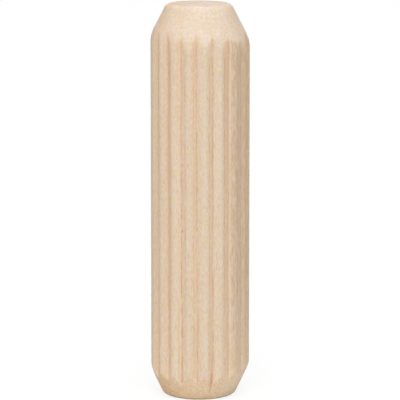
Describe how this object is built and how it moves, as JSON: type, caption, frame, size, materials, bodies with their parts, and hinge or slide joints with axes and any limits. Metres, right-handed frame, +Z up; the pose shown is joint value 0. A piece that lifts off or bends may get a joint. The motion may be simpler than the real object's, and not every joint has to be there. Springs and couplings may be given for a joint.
{
  "type": "fluted dowel pin",
  "caption": "Straight round hardwood pin with lengthwise V flutes and turned tapered ends, driven with glue into matching holes to line up and hold a wood joint.",
  "frame": {"origin": "middle of the rod at the lower end face, which the pin stands on", "axes": "+Z up along the grain, from the lower end to the upper end; the picture's viewer stands on the -Y side"},
  "size_m": [0.01, 0.01, 0.04],
  "materials": {
    "pale_hardwood": "bare, unfinished, straight-grained"
  },
  "bodies": {
    "root": {"dowel_pin": "pale_hardwood"}
  },
  "joints": []
}
